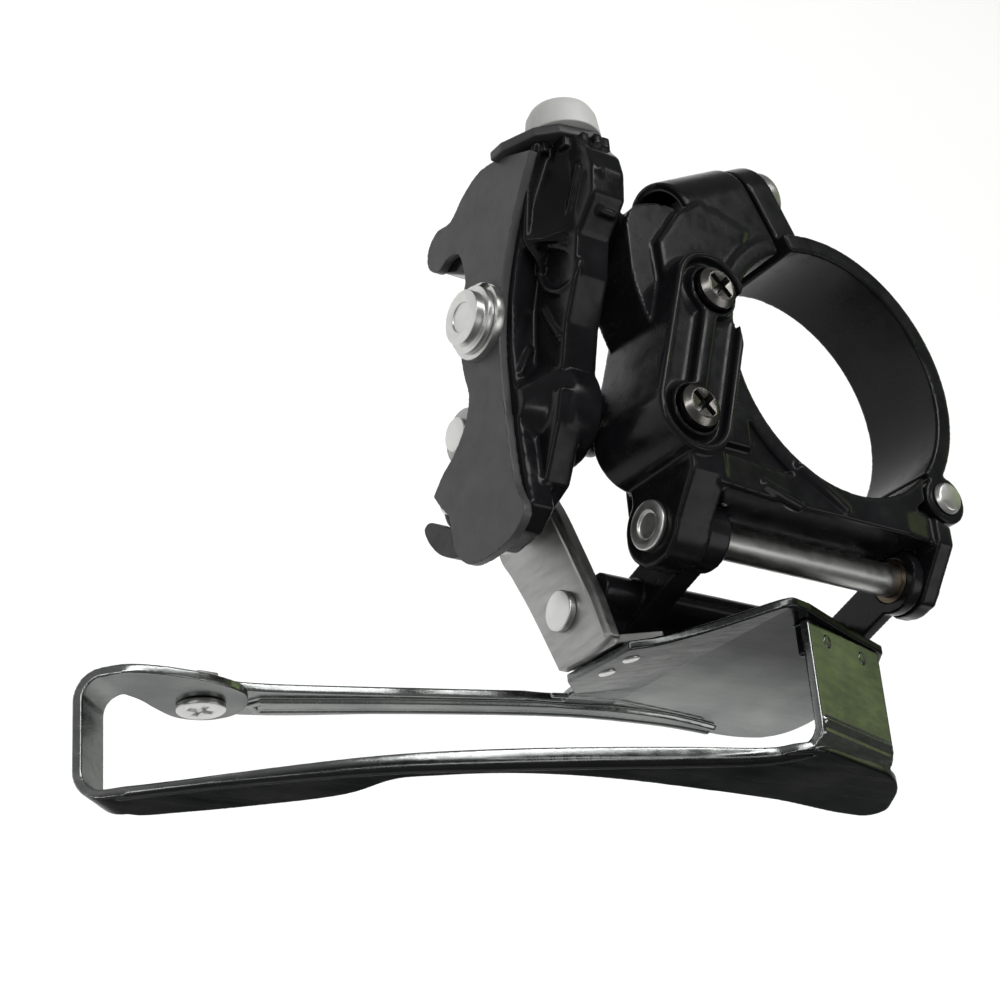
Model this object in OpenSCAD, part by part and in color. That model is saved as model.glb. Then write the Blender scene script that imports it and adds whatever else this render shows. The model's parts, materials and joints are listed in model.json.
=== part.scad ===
// Front derailleur: hinged band clamp, swing linkage and chain cage.
// Origin on the seat tube axis at mid height of the clamp band.
// +X points forward, +Y to the left of the bicycle, +Z up the seat tube.

/* [Clamp] */
// Diameter of the seat tube
tube_d = 34.9; // [34.7:0.05:35.0]
// Height of the band along the seat tube
band_h = 12.6; // [12:0.2:13]
// Wall thickness of the band
band_t = 2.5; // [2.3:0.1:2.7]
// Direction of the bolt ears, seen from above
ear_angle = 117; // [115:1:119]
// Direction of the clamp hinge, seen from above
hinge_angle = -43; // [-44:1:-42]

/* [Linkage] */
// Distance between the two pivots of each link
link_len = 16.5; // [16.3:0.1:16.7]
// Lean of the links outboard from straight down, at rest
link_lean = 18.8; // [18:0.2:19.6]
// Diameter of the two long pivot rods
rod_d = 4.3; // [4.1:0.1:4.4]
// Running clearance of a pivot, on the radius
fit = 0.05; // [0.03:0.01:0.08]

/* [Cage] */
// Thickness of the cage sheet
sheet = 1.2; // [1.1:0.1:1.3]
// Distance from the seat tube plane to the outer plate
outer_y = 50; // [49.6:0.1:50.4]
// Distance from the seat tube plane to the inner plate
inner_y = 33.6; // [33.5:0.1:33.8]

/* [Quality] */
// Segments of a full circle
detail = 64; // [48:8:96]

/* [Hidden] */
$fn = detail;

tube_r = tube_d / 2;
band_r = tube_r + band_t;

// Pivot centres in the Y-Z plane; all pivot axes are parallel to X
pivot_a = [-24.3, -1.2];
pivot_b = [-8.2, -7.6];
link_v = -link_len * [sin(link_lean), cos(link_lean)];
pivot_e = pivot_a + link_v;
pivot_f = pivot_b + link_v;

// Stations along X, from the rear
face_x = [-43.2, -42];
arm_x = [-42, -33.4];
bracket_x = [-30.2, -28.7];
rear_ear_x = [-28.2, -23];
rear_eye_x = [-22.7, -19.3];
front_eye_x = [11.2, 13];
front_ear_x = [13.3, 16];
lug_x = [13.4, 14.8];

// Clamp bolt, in a frame turned to ear_angle: X outward, Y along the bolt
bolt_r = 27;
bolt_rad = 2.5;
gap_y = [-3.2, -2];
boss_end = 10.5;
ear_end = -7.2;
nut_y = [0, 5];
hinge_r = 21.8;
hinge_pin_r = 1.5;
knuckle_z = 2.2;

// Limit screws, on the pad at the back of the body
screw_at = [[-21.9, 4.7], [-27.2, -12.9]];
pad_r = 5.6;
pad_top = 8.5;

// ---- helpers ----
module along_x(x) {
    translate([x[0], 0, 0]) rotate([90, 0, 90]) linear_extrude(x[1] - x[0]) children();
}
module along_y(y) {
    translate([0, y[1], 0]) rotate([90, 0, 0]) linear_extrude(y[1] - y[0]) children();
}
// Cylinder along X centred on a pivot
module rod_x(p, x, r) {
    translate([x[0], p[0], p[1]]) rotate([0, 90, 0]) cylinder(h = x[1] - x[0], r = r);
}
module rod_y(p, y, r) {
    translate([p[0], y[1], p[1]]) rotate([90, 0, 0]) cylinder(h = y[1] - y[0], r = r);
}
// Straight bar with round ends, drawn in 2-D; its sides sit a hair inside the end circles
module bar(a, b, r) {
    d = b - a;
    w = 0.999 * r;
    translate(a) circle(r);
    translate(b) circle(r);
    translate(a) rotate(atan2(d[1], d[0])) translate([0, -w]) square([norm(d), 2 * w]);
}
// Strip of width w along a chain of points, drawn in 2-D
module strip(pts, w) {
    for (i = [0 : len(pts) - 2]) bar(pts[i], pts[i + 1], w / 2);
}
module in_ears() {
    rotate([0, 0, ear_angle]) children();
}
module at_hinge() {
    rotate([0, 0, hinge_angle]) translate([hinge_r, 0, 0]) children();
}
// Pie slice of a disc from angle a to b, under 180 degrees
module slice(a, b, r) {
    n = 12;
    polygon(concat([[0, 0]], [for (i = [0 : n]) r * [cos(a + (b - a) * i / n), sin(a + (b - a) * i / n)]]));
}
module band_ring() {
    difference() {
        cylinder(h = band_h, r = band_r, center = true);
        cylinder(h = band_h + 2, r = tube_r, center = true);
    }
}
module knuckle(z0, z1, r) {
    translate([0, 0, z0]) cylinder(h = z1 - z0, r = r);
}
module pad_2d(r) {
    bar(screw_at[0], screw_at[1], r);
}

// ---- fixed body ----
module body() {
    half = band_h / 2;
    color([0.05, 0.05, 0.06]) difference() {
        union() {
            // fixed half of the clamp
            intersection() {
                band_ring();
                translate([0, 0, -half - 1]) linear_extrude(band_h + 2) union() {
                    slice(ear_angle - 2, 220, 40);
                    slice(215, 360 + hinge_angle - 1.5, 40);
                }
            }
            // clamp bolt boss and its web
            in_ears() {
                translate([bolt_r, gap_y[1], 0]) rotate([-90, 0, 0]) cylinder(h = boss_end - gap_y[1], r = 5.4);
                translate([tube_r + 0.6, gap_y[1], -5.4]) cube([bolt_r - tube_r - 0.6, 9, 10.8]);
            }
            // middle knuckle of the clamp hinge
            at_hinge() knuckle(-knuckle_z + 0.2, knuckle_z - 0.2, 3.4);
            // block that carries the limit screws, with its raised rim
            translate([0, 0, -5]) linear_extrude(pad_top + 5) pad_2d(pad_r);
            translate([-27, -15, -5]) cube([10, 22, 11.3]);
            // lug beside the clamp boss, and the flanks that join the boss, the pad and the ring
            translate([-31.4, 12.9, 0.8]) cube([12, 4.6, 2.6]);
            translate([0, 0, -5]) linear_extrude(10.7)
                polygon([[-12, 18], [-19.6, 20], [-23.4, 17.6], [-27.4, 12], [-27, 4], [-15, 4], [-14, 13]]);
            translate([0, 0, -5.5]) linear_extrude(10.8)
                polygon([[-17, -4], [-27, -10], [-27, -17], [-6, -18.8], [-4, -16], [-14, -10]]);
            // boss of the cable arm pivot
            rod_x(pivot_b, [-32.4, -19], 4);
            translate([-30, -12.2, -7.6]) cube([11.5, 8, 8]);
            // ears that hold the inner link rod, joined by a wall beside the ring
            rod_x(pivot_a, rear_ear_x, 5);
            rod_x(pivot_a, front_ear_x, 4.4);
            along_x(rear_ear_x) polygon([[-29, -3.5], [-29.1, 1], [-20.5, 7.5], [-12, 8.2], [-12, -4], [-20.5, -4.4]]);
            along_x(front_ear_x) polygon([[-28.4, -3.5], [-28.2, 1.5], [-21.5, 6.3], [-15.5, 6.3], [-15.5, -5.6], [-24, -5.6]]);
            translate([-27.4, -21.4, -6.3]) cube([43.4, 5.4, 9.6]);
            along_y([-21.4, -17]) polygon([[-24, 3.2], [-24, 7.4], [-12, 6.3], [8, 6.3], [16, 5], [16, 3.2]]);
        }
        // seat tube passes clear of the whole body
        cylinder(h = 80, r = tube_r, center = true);
        translate([0, 0, half]) cylinder(h = 20, r = tube_r + 0.6);
        translate([0, 0, -half - 20]) cylinder(h = 20, r = tube_r + 0.6);
        // clamp nut pocket and bolt way
        in_ears() translate([bolt_r, 0, 0]) rotate([-90, 0, 0]) {
            translate([0, 0, -5]) cylinder(h = 20, r = bolt_rad + 0.3);
            translate([0, 0, nut_y[0]]) cylinder(h = 20, r = 4.2);
        }
        // clearance for the knuckles of the moving half
        at_hinge() {
            knuckle(knuckle_z - 0.2, 20, 3.8);
            knuckle(-20, -knuckle_z + 0.2, 3.8);
            cylinder(h = 40, r = hinge_pin_r + 0.02, center = true);
        }
        intersection() {
            translate([0, 0, -8]) linear_extrude(16) slice(hinge_angle - 1.5, hinge_angle + 60, 26);
            difference() {
                cylinder(h = 16, r = 26, center = true);
                at_hinge() knuckle(-knuckle_z + 0.2, knuckle_z - 0.2, 3.4);
            }
        }
        // recess inside the rim of the pad, with screw seats
        translate([0, 0, pad_top - 1.4]) linear_extrude(3) difference() {
            pad_2d(pad_r - 1);
            for (p = screw_at) translate(p) circle(3.6);
            bar(screw_at[0], screw_at[1], 1.1);
        }
        for (p = screw_at) translate([p[0], p[1], -20]) cylinder(h = 40, r = 2.4);
        for (p = screw_at) translate([p[0], p[1], pad_top - 1.2]) cylinder(h = 3, r = 3.05);
        // pockets for the eyes of the inner link
        rod_x(pivot_a, [rear_eye_x[0] - 0.3, rear_eye_x[1] + 0.4], 4.7);
        rod_x(pivot_a, [front_eye_x[0] - 0.4, front_eye_x[1] + 0.3], 4.7);
        // pivot bores
        rod_x(pivot_b, [-60, -21.5], 2.5);
        rod_x(pivot_a, [-60, 60], rod_d / 2);
    }
}

module clamp_band() {
    half = band_h / 2;
    color([0.05, 0.05, 0.06]) difference() {
        union() {
            intersection() {
                band_ring();
                translate([0, 0, -half - 1]) linear_extrude(band_h + 2) union() {
                    slice(hinge_angle + 1.5, 60, 40);
                    slice(55, ear_angle - 4, 40);
                }
            }
            in_ears() {
                translate([bolt_r, ear_end, 0]) rotate([-90, 0, 0]) cylinder(h = gap_y[0] - ear_end, r = 5);
                translate([tube_r + 0.6, ear_end, -5]) cube([bolt_r - tube_r - 0.6, gap_y[0] - ear_end, 10]);
            }
            at_hinge() {
                knuckle(knuckle_z, half, 3.4);
                knuckle(-half, -knuckle_z, 3.4);
            }
        }
        cylinder(h = 80, r = tube_r, center = true);
        in_ears() {
            translate([bolt_r, -20, 0]) rotate([-90, 0, 0]) cylinder(h = 30, r = bolt_rad + 0.6);
            translate([10, gap_y[0], -10]) cube([30, 20, 20]);
        }
        at_hinge() {
            knuckle(-knuckle_z, knuckle_z, 3.8);
            cylinder(h = 40, r = hinge_pin_r + fit, center = true);
        }
    }
}

module clamp_hinge_pin() {
    half = band_h / 2;
    color("silver") at_hinge() {
        cylinder(h = band_h + 0.6, r = hinge_pin_r, center = true);
        translate([0, 0, half + 0.1]) cylinder(h = 0.8, r1 = 2.3, r2 = 1.9);
        translate([0, 0, -half - 0.9]) cylinder(h = 0.8, r1 = 1.9, r2 = 2.3);
    }
}

module clamp_bolt() {
    color("silver") in_ears() translate([bolt_r, 0, 0]) rotate([-90, 0, 0]) difference() {
        union() {
            translate([0, 0, ear_end - 0.3]) cylinder(h = 13.7, r = bolt_rad);
            translate([0, 0, ear_end - 2.6]) cylinder(h = 2.4, r = 4);
            translate([0, 0, ear_end - 3.2]) cylinder(h = 0.6, r1 = 3.3, r2 = 4);
        }
        translate([0, 0, ear_end - 5]) cylinder(h = 3.4, r = 2.3, $fn = 6);
    }
}

module clamp_nut() {
    color("gray") in_ears() translate([bolt_r, nut_y[0], 0]) rotate([-90, 0, 0]) difference() {
        cylinder(h = nut_y[1] - nut_y[0], r = 4.2);
        translate([0, 0, -1]) cylinder(h = 10, r = bolt_rad + fit);
    }
}

module limit_screw(p) {
    color([0.08, 0.08, 0.09]) translate([p[0], p[1], 0]) difference() {
        union() {
            translate([0, 0, -5.6]) cylinder(h = pad_top + 4.6, r = 1.6);
            translate([0, 0, pad_top - 1.1]) cylinder(h = 1.8, r = 2.8);
            translate([0, 0, pad_top + 0.7]) cylinder(h = 0.6, r1 = 2.8, r2 = 2);
        }
        for (a = [45, 135]) translate([0, 0, pad_top + 0.9]) rotate([0, 0, a]) cube([3.6, 0.8, 2.2], center = true);
    }
}
module low_limit_screw() {
    limit_screw(screw_at[0]);
}
module high_limit_screw() {
    limit_screw(screw_at[1]);
}

module limit_screw_inserts() {
    color("white") for (p = screw_at) translate([p[0], p[1], -4.5]) difference() {
        cylinder(h = 11.4, r = 2.4);
        translate([0, 0, -1]) cylinder(h = 14, r = 1.6 + fit);
    }
}

// ---- inner link ----
module inner_link() {
    eye_r = 4.3;
    barrel_r = 2.95;
    bush_r = rod_d / 2 + 0.7;
    color([0.06, 0.06, 0.07]) difference() {
        union() {
            rod_x(pivot_a, rear_eye_x, eye_r);
            rod_x(pivot_a, front_eye_x, eye_r);
            for (x = [rear_eye_x, front_eye_x]) along_x(x) bar(pivot_a, pivot_e, barrel_r);
            rod_x(pivot_e, [-28.4, 13], barrel_r);
            // web between the arms, along the lower barrel
            along_x([-28.4, 13]) bar(pivot_e, pivot_a + 0.7 * link_v, 2);
        }
        rod_x(pivot_a, [-40, 40], bush_r);
        rod_x(pivot_e, [-40, 40], rod_d / 2 + fit);
    }
}

module inner_link_bushes() {
    color("peru") for (x = [rear_eye_x, front_eye_x]) difference() {
        rod_x(pivot_a, x, rod_d / 2 + 0.7);
        rod_x(pivot_a, [-40, 40], rod_d / 2 + fit);
    }
}

module inner_link_pin() {
    color("silver") difference() {
        union() {
            rod_x(pivot_a, [rear_ear_x[0] - 0.4, front_ear_x[1] + 1.2], rod_d / 2);
            rod_x(pivot_a, [rear_ear_x[0] - 0.7, rear_ear_x[0]], 3.1);
        }
        rod_x(pivot_a, [rear_ear_x[0] - 2, rear_ear_x[0] - 0.35], 1.7);
        // groove for the clip
        difference() {
            rod_x(pivot_a, [front_ear_x[1] + 0.2, front_ear_x[1] + 0.8], 4);
            rod_x(pivot_a, [0, 40], rod_d / 2 - 0.5);
        }
    }
}

module clip(p, x) {
    color("dimgray") difference() {
        rod_x(p, x, 3.6);
        rod_x(p, [x[0] - 1, x[1] + 1], rod_d / 2 - 0.5);
        translate([x[0] - 1, p[0] - 1.1, p[1] - 6]) cube([4, 2.2, 6]);
    }
}
module inner_link_clip() {
    clip(pivot_a, [front_ear_x[1] + 0.2, front_ear_x[1] + 0.8]);
}

// ---- cable arm (outer link) ----
face_pts = [
    [22.4, 1.9], [16, -2.4], [10.4, -5.2], [5, -7], [-1, -7.9], [-10, -7.9], [-19.1, -7.2], [-23, -5.6],
    [-25, -8], [-25.9, -11.5], [-25.9, -15], [-25.2, -18], [-22.8, -20.7], [-17.2, -21.1], [-15, -23],
    [-12.9, -24.1], [-11, -22.6], [-9.8, -19.5], [-7, -16.4], [-3.8, -14.9], [0, -16], [4.8, -16.1],
    [9.5, -15.6], [12, -13.6], [14.4, -14], [17.2, -15], [17.6, -17.6], [16.6, -19.8], [18.6, -21.8],
    [21.4, -21.5], [22.9, -19.3], [22.2, -16.1], [24.6, -12.9], [25.9, -9.1], [24.4, -4.9]
];
rear_pts = [
    [24.6, 1.6], [16, -1.6], [10.4, -4.4], [5, -6.2], [-1, -7], [-10, -7], [-19.1, -6.4], [-22, -6],
    [-24.2, -9], [-24.6, -14], [-23, -18.6], [-19, -20.3], [-15, -20.2], [-9.8, -18.6], [-3.8, -14.2],
    [4.8, -15.2], [12.6, -14.6], [14.6, -15.6], [17.4, -20.2], [20.4, -20.4], [22.4, -17], [24, -12]
];
head_pts = [
    [24.6, -6], [24.6, 4.6], [21, 7.2], [18.4, 7.7], [14.6, 7.2], [11, 3.5], [6, 2.4], [0.5, -0.4],
    [-5, -1.9], [-5, -14], [6, -11], [14, -9.4]
];
anchor = [4.6, -10.9];
cap_at = [-37.1, 1];
guide_at = [-6.6, -19.6];

module cable_arm() {
    color([0.05, 0.05, 0.06]) difference() {
        union() {
            along_x([arm_x[0], -38.4]) polygon(rear_pts);
            along_x([-38.5, arm_x[1]]) polygon(head_pts);
            translate([arm_x[0], pivot_b[0], pivot_b[1]]) rotate([0, 90, 0]) cylinder(h = 4.4, r1 = 2, r2 = 6.6);
            rod_x(pivot_b, [-37.6, arm_x[1]], 6.6);
            // flank between the hub and the outboard corner
            along_x([-39.6, -35.8]) polygon([[-8, -1.1], [-12.4, -2.6], [-18.6, -6], [-20.4, -10], [-18, -16], [-8, -14]]);
            // slope from the face plate up to the head
            along_y([11.6, 24.6]) polygon([[-41.7, -4], [-41.7, -2.4], [-38.4, 3.6], [-38.4, -4]]);
            rod_x(pivot_f, [-40, -31.9], 3.9);
            along_x([-40, arm_x[1]]) bar(pivot_b, pivot_f, 3.9);
            rod_x(anchor, [arm_x[0], -35.4], 4.2);
            rod_x(guide_at, [-40.6, -38.2], 3.2);
        }
        // pockets between the ribs
        along_x([-37.4, -33]) polygon([[21.6, -3.6], [21.6, 3.6], [15.6, 4.2], [12.6, 1], [12.6, -6.4]]);
        along_x([-36.6, -33]) polygon([[9.6, -8], [9.6, 0.8], [2, -2.4], [0.4, -6], [0.4, -10.6]]);
        // spring chamber and pivot bores
        rod_x(pivot_b, [-37.6, -33], 5.6);
        rod_x(pivot_b, [-39.4, -20], 3.3);
        rod_x(pivot_f, [-60, -20], 2.3);
        rod_x(anchor, [-60, -20], 2.5);
        // seat of the end cap
        translate([cap_at[0], 23, cap_at[1]]) rotate([-90, 0, 0]) cylinder(h = 5, r = 2.02);
        // rivet hole of the cable guide
        rod_x(guide_at, [-60, -20], 1.5);
        rod_x(guide_at, [-43, -40.6], 3.75);
    }
}

module arm_face_plate() {
    color([0.23, 0.23, 0.24]) difference() {
        along_x(face_x) polygon(face_pts);
        rod_x(anchor, [-60, -20], 2.6);
    }
}

module arm_end_cover() {
    color([0.3, 0.3, 0.31]) along_y([24.7, 26]) difference() {
        polygon([[-44.2, -5], [-44.2, -2.6], [-42.4, 2], [-40, 4.2], [-34.6, 5.2], [-33.4, 4], [-33.4, -4], [-40, -5.4]]);
        translate(cap_at) circle(2.02);
    }
}

module arm_end_cap() {
    color([0.62, 0.62, 0.61]) translate([cap_at[0], 23, cap_at[1]]) rotate([-90, 0, 0]) {
        cylinder(h = 3.2, r = 2);
        translate([0, 0, 3]) cylinder(h = 3, r1 = 4.9, r2 = 4.5);
        translate([0, 0, 6]) cylinder(h = 1.2, r1 = 4.5, r2 = 3.9);
        translate([0, 0, 7.2]) cylinder(h = 0.5, r1 = 3.9, r2 = 2.8);
    }
}

module arm_pivot_pin() {
    color("silver") {
        rod_x(pivot_b, [-38.8, -21.5], 2.5);
        rod_x(pivot_b, [-39.1, -38.6], 3.1);
    }
}

module arm_pivot_bush() {
    color("peru") difference() {
        rod_x(pivot_b, [-38.3, -32.8], 3.3);
        rod_x(pivot_b, [-60, -20], 2.5 + fit);
    }
}

module arm_pivot_cover() {
    color([0.1, 0.1, 0.1]) difference() {
        rod_x(pivot_b, [-34.4, arm_x[1]], 5.6);
        rod_x(pivot_b, [-60, -20], 3.5);
    }
}

module return_spring() {
    wire = 0.45;
    coil_r = 4.5;
    turns_x = [-36.9, -35.9, -34.9];
    color("silver") {
        for (x = turns_x) translate([x, pivot_b[0], pivot_b[1]]) rotate([0, 90, 0])
            rotate_extrude() translate([coil_r, 0]) circle(wire, $fn = 16);
        translate([turns_x[0], pivot_b[0], pivot_b[1] + coil_r]) rotate([0, 90, 0])
            cylinder(h = turns_x[2] - turns_x[0], r = wire);
    }
}

module cable_anchor_bolt() {
    color("silver") difference() {
        union() {
            rod_x(anchor, [-45, -36], 2.4);
            rod_x(anchor, [-45.2, -44.35], 4.3);
            rod_x(anchor, [-46.4, -45], 3.5);
        }
        rod_x(anchor, [-48, -46.2], 1.9);
    }
}

module cable_anchor_washer() {
    color("silver") difference() {
        rod_x(anchor, [-44.3, face_x[0]], 4.9);
        rod_x(anchor, [-60, -20], 2.5);
        translate([-46, anchor[0] + 3, anchor[1] - 8]) cube([2.4, 1.3, 16]);
    }
}

module cable_guide() {
    color([0.04, 0.04, 0.04]) along_x([-41.9, -39.9])
        polygon([[-22.6, -20.3], [-22.2, -22.6], [-20.4, -25.8], [-17.5, -28.4], [-15.6, -28.8], [-15.2, -27.6],
            [-17, -24.6], [-18.2, -22.6], [-18.6, -20.3]]);
}

module guide_rivet() {
    color("silver") {
        rod_x(guide_at, [-41.4, -38], 1.5);
        rod_x(guide_at, [-42.6, -41.4], 2.2);
    }
}
module guide_washer() {
    color("silver") difference() {
        rod_x(guide_at, [-41.4, -40.6], 3.7);
        rod_x(guide_at, [-60, -20], 1.5);
    }
}

// ---- chain cage ----
inner_mid = [
    [-29, -19], [-28.4, -7.4], [-24.8, -6.8], [-20.1, -3.2], [-17.1, 0.4], [-13.4, 4.8], [-9.4, 4.2],
    [9.2, -2.6], [13.5, -9.4], [17.2, -18], [17.8, -25.4], [16, -31], [11, -34.6], [4, -35.6],
    [-17, -36.6], [-20, -31.6], [-24, -23.6]
];
inner_tail = [
    [-17, -31.2], [-38, -38.4], [-58, -44.8], [-64, -44.4], [-67.4, -47], [-67.4, -51], [-64, -53],
    [-58, -53.4], [-52, -52.2], [-36, -44.6], [-16, -36.6], [-10, -36.2], [-10, -33]
];
outer_pts = [
    [-8.4, 1.2], [8, -2.6], [11.8, -5.6], [17.6, -14.4], [16.4, -17], [12, -17], [0, -15.8], [-12.4, -15.9],
    [-32.6, -17.5], [-44, -22.2], [-50.6, -26.6], [-51.8, -34.8], [-66, -45.4], [-75.6, -52],
    [-80.6, -47.4], [-68, -34.4], [-54.5, -22.2], [-52.9, -20.6], [-32.2, -10.3], [-12, -2.4]
];
leg_pts = [
    [-80.6, -47.4], [-78, -43.4], [-68, -42.6], [-62, -43.6], [-58.6, -46.6], [-58.2, -50.6], [-60.6, -53.4],
    [-64.6, -53.8], [-69, -51.2], [-75.6, -50.6]
];
rib_pts = [[-54, -49.4], [-36, -41.6], [-16, -34.9], [6.2, -33]];
tail_at = [-63.4, -48.8];
tail_end = [[-80.2, -47.2], [-76.2, -51]];
// Top bridge between the plates: rear end in X and Z, and its slope
bridge_at = [-8.8, 1.4];
bridge_tilt = 17;

module on_bridge(y) {
    translate([bridge_at[0], y, bridge_at[1]]) rotate([0, bridge_tilt, 0]) children();
}
module cage_inner_plate() {
    h = sheet / 2;
    y = -inner_y;
    color([0.75, 0.75, 0.76]) difference() {
        union() {
            intersection() {
                translate([0, 0, -50]) linear_extrude(70)
                    strip([[-29, -37.4], [-12.5, y], [22, y]], sheet);
                along_y([-40, -30]) polygon(inner_mid);
            }
            along_y([y - h, y + h]) polygon(inner_tail);
            // embossed rib along the lower edge
            along_y([y - h - 0.7, y]) strip(rib_pts, 2);
            // front lug of the lower pivot
            along_x(lug_x) union() {
                translate(pivot_e) circle(4.2);
                translate([y, pivot_e[1] - 4.2]) square([pivot_e[0] - y, 8.4]);
            }
            // ledge under the bridge
            on_bridge(y - 4.6) translate([0.9, 0, -sheet - 0.02]) cube([15.6, 4.6, sheet]);
        }
        rod_x(pivot_e, [-60, 60], rod_d / 2);
        rod_y(tail_at, [-40, -30], 1.6);
        bracket_rivets();
        bridge_rivets();
    }
}

module cage_outer_plate() {
    h = sheet / 2;
    y = -outer_y;
    leg_y = -inner_y - h - sheet;
    color([0.7, 0.7, 0.72]) difference() {
        union() {
            along_y([y - h, y + h]) polygon(outer_pts);
            // rolled lip along the top edge
            along_y([y - 2.6, y]) strip([[-52, -21.2], [-32.2, -11.2], [-12, -3.4], [-8.6, -1]], sheet);
            // front bridge
            on_bridge(y - h + 0.05) cube([17.4, outer_y - inner_y - 0.07, sheet]);
            // tail turns round to the inner plate
            along_y([y, leg_y + sheet]) strip(tail_end, sheet);
            along_y([leg_y, leg_y + sheet - 0.02]) polygon(leg_pts);
        }
        rod_y(tail_at, [-40, -30], 1.6);
        bridge_rivets();
    }
}

module cage_rear_bracket() {
    color([0.66, 0.67, 0.68]) difference() {
        union() {
            along_x(bracket_x) polygon([[-36.6, -19], [-36.2, -8.2], [-30.2, -10.2], [-14.6, -17], [-9.4, -20.6],
                [-8.6, -25.4], [-12, -29], [-17.2, -29.2], [-24, -24.6]]);
            // folded tab against the inner plate
            translate([0, 0, -18.4]) linear_extrude(9.6)
                strip([[-29.3, -36.1], [-21.5, -34.3]], sheet);
        }
        rod_x(pivot_e, [-60, 60], rod_d / 2);
        rod_x(pivot_f, [-60, 60], 2.2);
        bracket_rivets();
    }
}

module cage_pivot_pin() {
    color("silver") {
        rod_x(pivot_e, [bracket_x[0] - 0.6, lug_x[1] + 0.6], rod_d / 2);
        rod_x(pivot_e, [bracket_x[0] - 1, bracket_x[0]], 2.6);
    }
}
module cage_pivot_clip() {
    color("dimgray") difference() {
        rod_x(pivot_e, [lug_x[1], lug_x[1] + 0.6], 3.4);
        rod_x(pivot_e, [0, 40], rod_d / 2);
    }
}
module arm_cage_pin() {
    color("silver") {
        rod_x(pivot_f, [-41.6, bracket_x[1] + 0.9], 2.2);
        rod_x(pivot_f, [bracket_x[1], bracket_x[1] + 0.8], 3.4);
    }
}
module arm_cage_spacer() {
    color("peru") difference() {
        rod_x(pivot_f, [-31.6, bracket_x[0]], 3.6);
        rod_x(pivot_f, [-60, 60], 2.2);
    }
}
module bracket_rivets() {
    color("silver") for (z = [-16, -11.2]) translate([-25.4, -35.9, z]) rotate([90, 0, 12])
        cylinder(h = 2.9, r = 1.1, center = true);
}
module bridge_rivets() {
    color("silver") on_bridge(-inner_y - 2.6) for (x = [4.2, 12.8]) translate([x, 0, -sheet - 0.3])
        cylinder(h = 2 * sheet + 0.4, r = 0.9);
}
module tail_screw() {
    y = -inner_y - sheet / 2 - sheet;
    color("silver") difference() {
        union() {
            rod_y(tail_at, [y - 0.1, -31.4], 1.55);
            rod_y(tail_at, [y - 1.7, y - 0.05], 3.1);
        }
        for (a = [0, 90]) translate([tail_at[0], y - 1.6, tail_at[1]]) rotate([0, a, 0])
            cube([3.4, 1.6, 0.8], center = true);
    }
}
module tail_nut() {
    color("gray") difference() {
        translate([tail_at[0], -inner_y + sheet / 2, tail_at[1]]) rotate([-90, 0, 0]) cylinder(h = 1.3, r = 2.6, $fn = 6);
        rod_y(tail_at, [-40, -20], 1.55 + fit);
    }
}

body();
clamp_band();
clamp_hinge_pin();
clamp_bolt();
clamp_nut();
low_limit_screw();
high_limit_screw();
limit_screw_inserts();
inner_link();
inner_link_bushes();
inner_link_pin();
inner_link_clip();
cable_arm();
arm_face_plate();
arm_end_cover();
arm_end_cap();
arm_pivot_pin();
arm_pivot_bush();
arm_pivot_cover();
return_spring();
cable_anchor_bolt();
cable_anchor_washer();
cable_guide();
guide_rivet();
guide_washer();
cage_inner_plate();
cage_outer_plate();
cage_rear_bracket();
cage_pivot_pin();
cage_pivot_clip();
arm_cage_pin();
arm_cage_spacer();
bracket_rivets();
bridge_rivets();
tail_screw();
tail_nut();
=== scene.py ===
"""Looks of a front derailleur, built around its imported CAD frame.

Castings are rounded copies of their CAD meshes, sheet parts get bent and rolled
edges, and fasteners get small bevels. Sizes of pieces are in millimetres, and
finish_piece() turns them into the metres of the frame; lamps are in metres.
"""

import json
import math

import bmesh
import bpy
import numpy as np
from mathutils import Matrix, Vector


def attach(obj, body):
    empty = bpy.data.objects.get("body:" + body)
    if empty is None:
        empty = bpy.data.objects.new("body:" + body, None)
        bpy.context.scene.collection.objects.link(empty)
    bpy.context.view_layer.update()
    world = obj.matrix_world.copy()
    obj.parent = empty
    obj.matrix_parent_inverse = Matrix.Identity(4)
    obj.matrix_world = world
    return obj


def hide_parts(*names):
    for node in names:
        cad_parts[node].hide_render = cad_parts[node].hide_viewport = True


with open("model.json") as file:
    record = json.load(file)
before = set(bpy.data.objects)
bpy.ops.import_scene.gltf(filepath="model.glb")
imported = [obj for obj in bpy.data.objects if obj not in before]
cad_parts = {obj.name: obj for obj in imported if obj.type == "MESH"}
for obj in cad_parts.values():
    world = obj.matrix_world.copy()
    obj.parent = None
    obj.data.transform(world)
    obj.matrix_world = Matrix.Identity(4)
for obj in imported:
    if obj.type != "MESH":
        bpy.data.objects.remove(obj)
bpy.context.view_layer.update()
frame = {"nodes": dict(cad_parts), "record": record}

MM = 0.001
BODIES = {n: body for body, names in frame["record"]["behaviour"]["bodies"].items() for n in names}
SLOTS = {s["node"]: s["material_slot"] for s in frame["record"]["subparts"]}


# ---- materials ----
def new_material(name, color, metallic, roughness):
    """A new material and its shader node."""
    mat = bpy.data.materials.new(name)
    mat.use_nodes = True
    shader = mat.node_tree.nodes["Principled BSDF"]
    shader.inputs["Base Color"].default_value = (*color, 1)
    shader.inputs["Metallic"].default_value = metallic
    shader.inputs["Roughness"].default_value = roughness
    return mat, shader


def node(mat, kind, **values):
    """A new node in the material, with inputs or settings given by name."""
    n = mat.node_tree.nodes.new(kind)
    for key, value in values.items():
        if key in n.inputs:
            n.inputs[key].default_value = value
        else:
            setattr(n, key.lower(), value)
    return n


def link(mat, a, b):
    """Join output a to input b."""
    mat.node_tree.links.new(a, b)


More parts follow.
